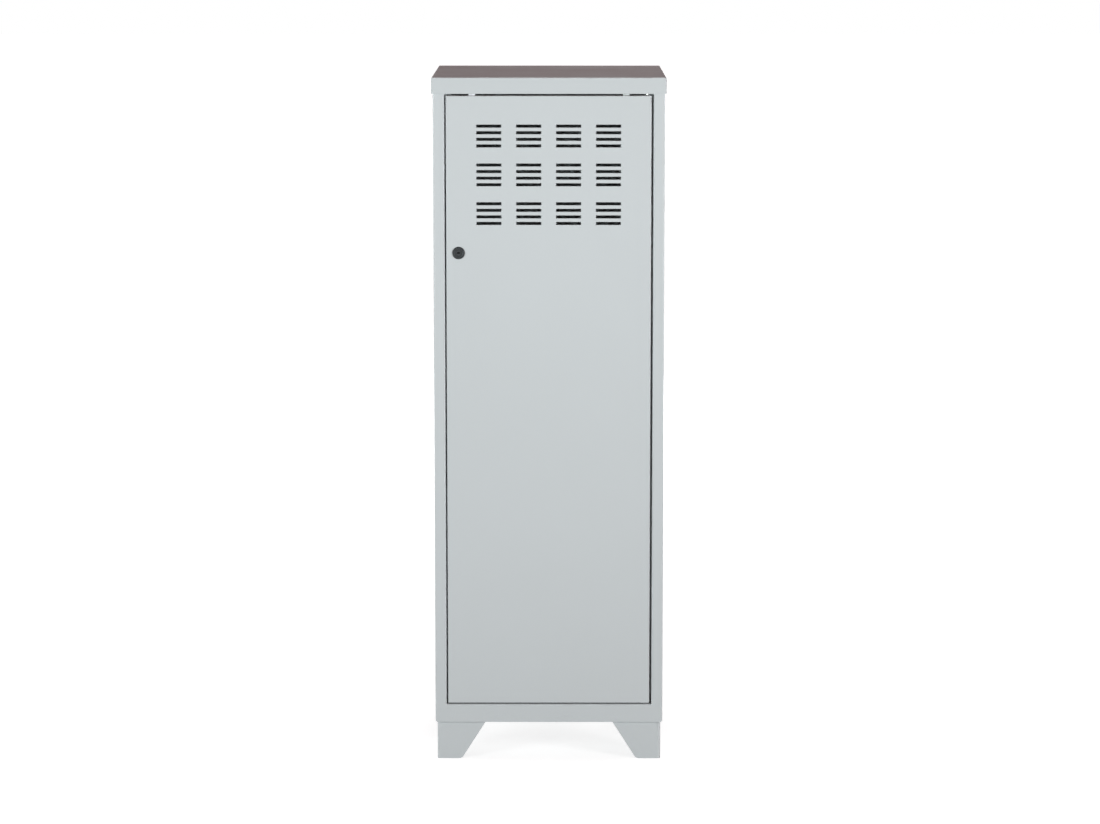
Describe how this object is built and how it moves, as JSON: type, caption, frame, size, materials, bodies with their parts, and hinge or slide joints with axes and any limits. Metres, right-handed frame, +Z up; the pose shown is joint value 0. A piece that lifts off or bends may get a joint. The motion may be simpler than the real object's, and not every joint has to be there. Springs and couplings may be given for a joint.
{
  "type": "storage locker",
  "caption": "Free-standing light grey sheet-steel locker with a vented hinged door, cam lock, inner shelves and folded feet, for tools or work clothes.",
  "frame": {"origin": "on the floor, under the middle of the locker", "axes": "+X to the right seen from the front, +Y towards the back, +Z up; the door faces -Y"},
  "size_m": [0.405, 0.405, 1.2],
  "materials": {
    "light_grey_paint": "satin light grey powder coat",
    "zinc_steel": "bright zinc plating",
    "dark_lock_metal": "dark plated die-cast lock",
    "white_nylon": "moulded",
    "grey_nylon": "moulded",
    "black_rubber": "moulded"
  },
  "bodies": {
    "carcass": {"left_side_panel": "light_grey_paint", "right_side_panel": "light_grey_paint", "back_panel": "light_grey_paint", "floor_pan": "light_grey_paint", "front_header": "light_grey_paint", "top_cap": "light_grey_paint", "foot_front_left": "light_grey_paint", "floor_bolt_front_left": "zinc_steel", "floor_nut_front_left": "zinc_steel", "side_bolt_front_left": "zinc_steel", "side_nut_front_left": "zinc_steel", "foot_front_right": "light_grey_paint", "floor_bolt_front_right": "zinc_steel", "floor_nut_front_right": "zinc_steel", "side_bolt_front_right": "zinc_steel", "side_nut_front_right": "zinc_steel", "foot_rear_right": "light_grey_paint", "floor_bolt_rear_right": "zinc_steel", "floor_nut_rear_right": "zinc_steel", "side_bolt_rear_right": "zinc_steel", "side_nut_rear_right": "zinc_steel", "foot_rear_left": "light_grey_paint", "floor_bolt_rear_left": "zinc_steel", "floor_nut_rear_left": "zinc_steel", "side_bolt_rear_left": "zinc_steel", "side_nut_rear_left": "zinc_steel", "lower_shelf": "light_grey_paint", "lower_runner_left": "light_grey_paint", "lower_runner_right": "light_grey_paint", "upper_shelf": "light_grey_paint", "upper_runner_left": "light_grey_paint", "upper_runner_right": "light_grey_paint", "back_rivet_left_1": "zinc_steel", "back_rivet_left_2": "zinc_steel", "back_rivet_left_3": "zinc_steel", "back_rivet_right_1": "zinc_steel", "back_rivet_right_2": "zinc_steel", "back_rivet_right_3": "zinc_steel", "door_buffer_left": "white_nylon", "door_buffer_right": "white_nylon", "stop_bumper_1": "black_rubber", "stop_bumper_2": "black_rubber", "stop_bumper_3": "black_rubber", "hinge_pin_upper": "zinc_steel", "hinge_pin_lower": "zinc_steel", "hinge_washer": "grey_nylon"},
    "door": {"door_panel": "light_grey_paint", "door_stiffener": "light_grey_paint", "hinge_bush_upper": "grey_nylon", "hinge_bush_lower": "grey_nylon", "lock_housing": "dark_lock_metal", "lock_nut": "zinc_steel"},
    "lock": {"lock_plug": "dark_lock_metal", "lock_cam": "zinc_steel", "cam_washer": "zinc_steel", "cam_screw": "zinc_steel"}
  },
  "joints": [
    {"name": "door_hinge", "type": "hinge", "parent": "carcass", "child": "door", "pos_m": [0.169, -0.193, 0.634], "axis": [0, 0, 1], "range_deg": [0, 105]},
    {"name": "lock_turn", "type": "hinge", "parent": "door", "child": "lock", "pos_m": [-0.1562, -0.187, 0.8975], "axis": [0, 1, 0], "range_deg": [0, 90]}
  ]
}
